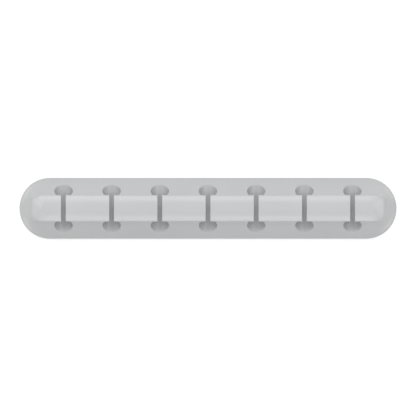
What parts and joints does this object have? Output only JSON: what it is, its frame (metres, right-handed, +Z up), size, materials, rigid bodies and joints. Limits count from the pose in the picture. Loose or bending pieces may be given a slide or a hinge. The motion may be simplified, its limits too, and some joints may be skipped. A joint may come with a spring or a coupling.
{
  "type": "adhesive desk cable organizer",
  "caption": "Soft moulded bar that holds cables side by side on a desk edge: keyhole slots cross its crowned ridge, with an adhesive pad and peel-off liner beneath.",
  "frame": {"origin": "centre of the resting face, on the surface that the part lies on", "axes": "+Z up from the resting face, +X along the bar, Y along the cable channels"},
  "size_m": [0.13, 0.021, 0.0128],
  "materials": {
    "silicone": "light neutral grey silicone, satin, very fine moulded texture",
    "foam_pad": "off-white closed-cell foam with a tacky adhesive on both faces",
    "liner": "coated release paper, pale, low sheen"
  },
  "bodies": {
    "root": {"body": "silicone", "adhesive_pad": "foam_pad", "release_liner": "liner"}
  },
  "joints": []
}
